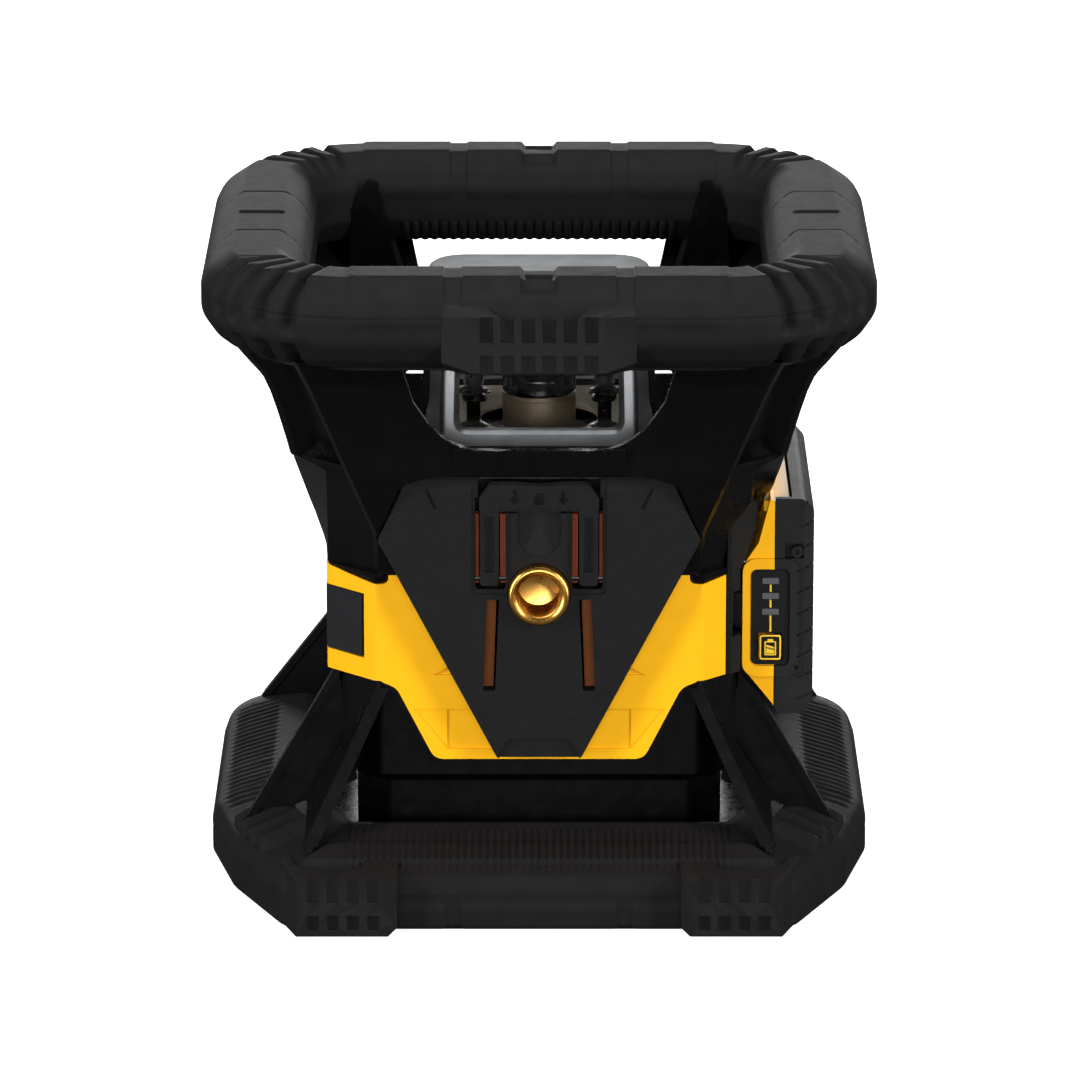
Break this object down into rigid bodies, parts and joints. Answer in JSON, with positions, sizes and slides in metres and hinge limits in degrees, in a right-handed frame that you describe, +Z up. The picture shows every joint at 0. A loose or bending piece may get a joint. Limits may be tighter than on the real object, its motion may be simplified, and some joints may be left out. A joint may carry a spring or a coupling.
{
  "type": "rotating laser level",
  "caption": "Rotating laser level: a self-levelling spinning laser in a glazed lantern, inside a roll cage with rubber handle ring and base, side mount thread and slide-on battery.",
  "frame": {"origin": "bottom centre of the bounding box, on the surface that it stands on", "axes": "+Z up along the laser's spin axis, -Y towards the threaded side mount, +X towards the battery, +Y towards the control panel"},
  "size_m": [0.2188, 0.222, 0.216],
  "materials": {
    "rubber": "matte overmoulded rubber",
    "black_gloss": "semi-gloss moulding",
    "black_textured": "fine spark-eroded texture",
    "yellow": "satin",
    "aluminium": "fine cast, satin",
    "brass": "turned",
    "steel": "brushed",
    "glass": "clear, slightly tinted",
    "orange": "satin",
    "dark_red": "satin",
    "tan": "satin",
    "board_green": "solder mask",
    "grey": "soft-touch"
  },
  "bodies": {
    "root": {"base_bumper": "rubber", "bottom_cover": "black_textured", "base_thread_insert": "brass", "lower_chassis": "black_gloss", "housing_shell": "yellow", "side_insert": "black_textured", "upper_housing": "black_gloss", "upper_cage": "black_gloss", "handle_ring": "rubber", "mount_plate": "black_textured", "side_thread_insert": "brass", "lever_pin_left": "steel", "lever_pin_right": "steel", "slide_strip_left": "orange", "slide_strip_right": "orange", "bay_housing": "black_textured", "battery_rail": "black_textured", "lantern_frame": "aluminium", "lantern_gasket": "rubber", "lantern_cover": "aluminium", "window_front": "glass", "window_rear": "glass", "window_left": "glass", "window_right": "glass", "deck_plate": "tan", "deck_post_front_left": "black_textured", "deck_post_front_right": "black_textured", "deck_post_rear_left": "black_textured", "deck_post_rear_right": "black_textured", "gimbal_carrier": "grey", "pitch_motor": "steel", "roll_motor": "steel", "circuit_board": "board_green", "control_panel": "black_textured"},
    "lever": {"lock_lever": "black_textured"},
    "battery_pack": {"battery_upper_shell": "yellow", "battery_lower_shell": "black_textured", "gauge_panel": "black_gloss"},
    "gauge_button": {"gauge_button": "grey"},
    "release_button": {"battery_release_button": "grey"},
    "gimbal": {"gimbal_ring": "aluminium"},
    "laser_unit": {"laser_module": "aluminium", "laser_diode_housing": "brass", "collimator_lens": "glass", "rotor_motor": "dark_red", "rotor_bearing": "steel"},
    "rotor": {"rotor_drum": "tan", "rotor_cap": "black_gloss", "pentaprism": "glass"},
    "pitch_nut": {"pitch_nut": "brass"},
    "roll_nut": {"roll_nut": "brass"},
    "pitch_screw": {"pitch_screw": "steel"},
    "roll_screw": {"roll_screw": "steel"},
    "key_power": {"key_power": "grey"},
    "key_left": {"key_left": "grey"},
    "key_right": {"key_right": "grey"},
    "key_up": {"key_up": "grey"},
    "key_down": {"key_down": "grey"},
    "key_speed": {"key_speed": "grey"},
    "key_sweep": {"key_sweep": "grey"}
  },
  "joints": [
    {"name": "lever_turn", "type": "hinge", "parent": "root", "child": "lever", "pos_m": [0, -0.073, 0.11], "axis": [1, 0, 0], "range_deg": [0, 75]},
    {"name": "battery_slide", "type": "slide", "parent": "root", "child": "battery_pack", "axis": [0, -1, 0], "range_m": [0, 0.095]},
    {"name": "gauge_press", "type": "slide", "parent": "battery_pack", "child": "gauge_button", "axis": [0, 1, 0], "range_m": [0, 0.0008], "stiffness_N_per_m": 300},
    {"name": "release_press", "type": "slide", "parent": "battery_pack", "child": "release_button", "axis": [1, 0, 0], "range_m": [0, 0.002], "stiffness_N_per_m": 500},
    {"name": "gimbal_pitch", "type": "hinge", "parent": "root", "child": "gimbal", "pos_m": [0, 0, 0.095], "axis": [1, 0, 0], "range_deg": [-5, 5]},
    {"name": "gimbal_roll", "type": "hinge", "parent": "gimbal", "child": "laser_unit", "pos_m": [0, 0, 0.095], "axis": [0, 1, 0], "range_deg": [-5, 5]},
    {"name": "rotor_spin", "type": "hinge", "parent": "laser_unit", "child": "rotor", "pos_m": [0, 0, 0.1544], "axis": [0, 0, 1], "continuous": true},
    {"name": "pitch_nut_travel", "type": "slide", "parent": "root", "child": "pitch_nut", "axis": [0, 0, 1], "range_m": [-0.0036, 0.0036]},
    {"name": "roll_nut_travel", "type": "slide", "parent": "root", "child": "roll_nut", "axis": [0, 0, 1], "range_m": [-0.004, 0.004]},
    {"name": "pitch_screw_turn", "type": "hinge", "parent": "root", "child": "pitch_screw", "pos_m": [0, 0.041, 0.0853], "axis": [0, 0, 1], "range_deg": [-430, 430]},
    {"name": "roll_screw_turn", "type": "hinge", "parent": "root", "child": "roll_screw", "pos_m": [0.0446, 0, 0.0853], "axis": [0, 0, 1], "range_deg": [-470, 470]},
    {"name": "key_power_press", "type": "slide", "parent": "root", "child": "key_power", "axis": [0, -1, 0], "range_m": [0, 0.001], "stiffness_N_per_m": 300},
    {"name": "key_left_press", "type": "slide", "parent": "root", "child": "key_left", "axis": [0, -1, 0], "range_m": [0, 0.001], "stiffness_N_per_m": 300},
    {"name": "key_right_press", "type": "slide", "parent": "root", "child": "key_right", "axis": [0, -1, 0], "range_m": [0, 0.001], "stiffness_N_per_m": 300},
    {"name": "key_up_press", "type": "slide", "parent": "root", "child": "key_up", "axis": [0, -1, 0], "range_m": [0, 0.001], "stiffness_N_per_m": 300},
    {"name": "key_down_press", "type": "slide", "parent": "root", "child": "key_down", "axis": [0, -1, 0], "range_m": [0, 0.001], "stiffness_N_per_m": 300},
    {"name": "key_speed_press", "type": "slide", "parent": "root", "child": "key_speed", "axis": [0, -1, 0], "range_m": [0, 0.001], "stiffness_N_per_m": 300},
    {"name": "key_sweep_press", "type": "slide", "parent": "root", "child": "key_sweep", "axis": [0, -1, 0], "range_m": [0, 0.001], "stiffness_N_per_m": 300}
  ],
  "couplings": [
    {"joint": "pitch_nut_travel", "follows": "gimbal_pitch", "m_per_rad": 0.041},
    {"joint": "roll_nut_travel", "follows": "gimbal_roll", "m_per_rad": -0.0446},
    {"joint": "pitch_screw_turn", "follows": "gimbal_pitch", "ratio": 85.87},
    {"joint": "roll_screw_turn", "follows": "gimbal_roll", "ratio": -93.41}
  ]
}
